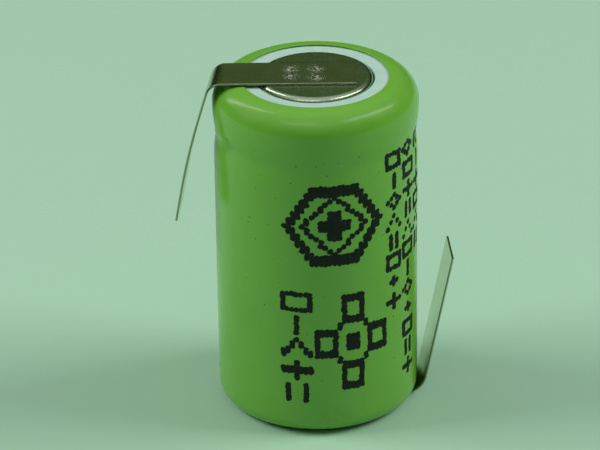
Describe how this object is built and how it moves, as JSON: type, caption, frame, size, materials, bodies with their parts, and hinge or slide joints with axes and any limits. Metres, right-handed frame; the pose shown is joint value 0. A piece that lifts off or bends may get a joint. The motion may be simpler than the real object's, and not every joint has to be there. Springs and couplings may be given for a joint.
{
  "type": "cylindrical battery cell",
  "caption": "Short sleeved rechargeable cell with a flat positive cap, white top washer and bent solder tags at both ends.",
  "frame": {"origin": "on the cell's axis in the plane of the lower tag's underside, which the cell stands on", "axes": "+Z along the cell's axis towards its positive end; the positive tag hangs on the -X side and the negative tag rises on the +X side"},
  "size_m": [0.0194, 0.0142, 0.0249],
  "materials": {
    "nickel_plated_steel": "satin",
    "green_sleeve": "gloss",
    "white_washer": "satin",
    "nylon_gasket": "satin",
    "vent_rubber": "matte",
    "spring_steel": "gloss",
    "separator_fleece": "matte",
    "nickel_hydroxide": "matte",
    "hydride_alloy": "matte",
    "nickel_strip": "satin",
    "insulating_board": "matte"
  },
  "bodies": {
    "cell": {"steel_can": "nickel_plated_steel", "shrink_sleeve": "green_sleeve", "top_washer": "white_washer", "sealing_gasket": "nylon_gasket", "sealing_plate": "nickel_plated_steel", "positive_cap": "nickel_plated_steel", "vent_spring": "spring_steel", "separator_inner": "separator_fleece", "separator_outer": "separator_fleece", "positive_electrode": "nickel_hydroxide", "negative_electrode": "hydride_alloy", "positive_lead": "nickel_strip", "bottom_insulating_disc": "insulating_board", "upper_insulating_disc": "insulating_board", "positive_tag_pad": "nickel_strip", "negative_tag_pad": "nickel_strip"},
    "vent_valve": {"vent_rubber_disc": "vent_rubber", "vent_plate": "nickel_plated_steel"},
    "positive_lug": {"positive_tag_arm": "nickel_strip"},
    "negative_lug": {"negative_tag_arm": "nickel_strip"}
  },
  "joints": [
    {"name": "vent_lift", "type": "slide", "parent": "cell", "child": "vent_valve", "axis": [0, 0, 1], "range_m": [0, 0.0003], "stiffness_N_per_m": 2000, "springref_m": -0.00125, "deforming": ["vent_spring"]},
    {"name": "positive_tag_bend", "type": "hinge", "parent": "cell", "child": "positive_lug", "pos_m": [-0.00717, 0, 0.02488], "axis": [0, 1, 0], "range_deg": [-6, 76.6]},
    {"name": "negative_tag_bend", "type": "hinge", "parent": "cell", "child": "negative_lug", "pos_m": [0.00734, 0.00055, 0.00007], "axis": [-0.075, 0.9972, 0], "range_deg": [-3.5, 78.8]}
  ]
}
